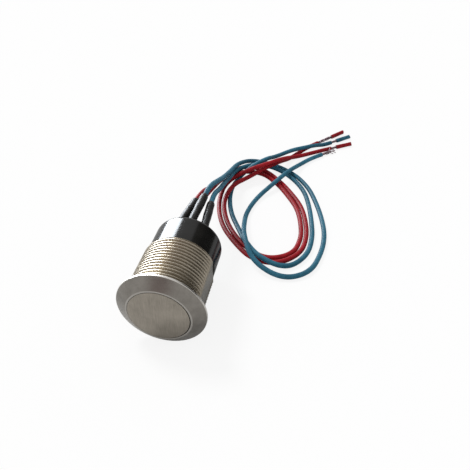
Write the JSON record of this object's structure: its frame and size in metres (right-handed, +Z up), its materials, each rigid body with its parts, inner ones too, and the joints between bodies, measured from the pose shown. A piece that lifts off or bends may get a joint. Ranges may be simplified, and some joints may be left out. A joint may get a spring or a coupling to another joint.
{
  "type": "push button",
  "caption": "Round steel panel push button with a flat flush cap in a bevelled flange, threaded barrel, black base and thin coloured wire leads.",
  "frame": {"origin": "middle of the flange's rear face, which seats on the panel, on the button's axis", "axes": "-Y out of the button's front, +Y along the threaded barrel to the base and leads, +Z up, +X to the right seen from the front, where the barrel's flat is"},
  "size_m": [0.0535, 0.1155, 0.0228],
  "materials": {
    "housing_steel": "fine turned",
    "cap_steel": "fine brushed",
    "spring_steel": "drawn",
    "seal_rubber": "matt",
    "moulded_black": "moulded",
    "contact_brass": "stamped",
    "tinned_brass": "tinned",
    "sleeve_black": "shrunk satin",
    "lead_blue": "extruded",
    "lead_red": "extruded",
    "strands_tinned": "bright strands"
  },
  "bodies": {
    "switch_body": {"housing": "housing_steel", "guide_plate": "moulded_black", "return_spring": "spring_steel", "base": "moulded_black", "terminal_1": "tinned_brass", "sleeve_1": "sleeve_black", "lead_1": "lead_blue", "strands_1": "strands_tinned", "terminal_2": "tinned_brass", "sleeve_2": "sleeve_black", "lead_2": "lead_blue", "strands_2": "strands_tinned", "slug_2": "lead_blue", "terminal_3": "tinned_brass", "sleeve_3": "sleeve_black", "lead_3": "lead_red", "strands_3": "strands_tinned", "slug_3": "lead_red", "terminal_4": "tinned_brass", "sleeve_4": "sleeve_black", "lead_4": "lead_red", "strands_4": "strands_tinned", "slug_4": "lead_red"},
    "button": {"button_cap": "cap_steel", "cap_ring": "seal_rubber", "plunger": "moulded_black", "contact_bridge_1": "contact_brass", "contact_bridge_2": "contact_brass", "contact_leaf_1": "spring_steel", "contact_leaf_2": "spring_steel"}
  },
  "joints": [
    {"name": "button_press", "type": "slide", "parent": "switch_body", "child": "button", "axis": [0, 1, 0], "range_m": [0, 0.002], "stiffness_N_per_m": 800, "springref_m": -0.002, "deforming": ["return_spring"]}
  ]
}
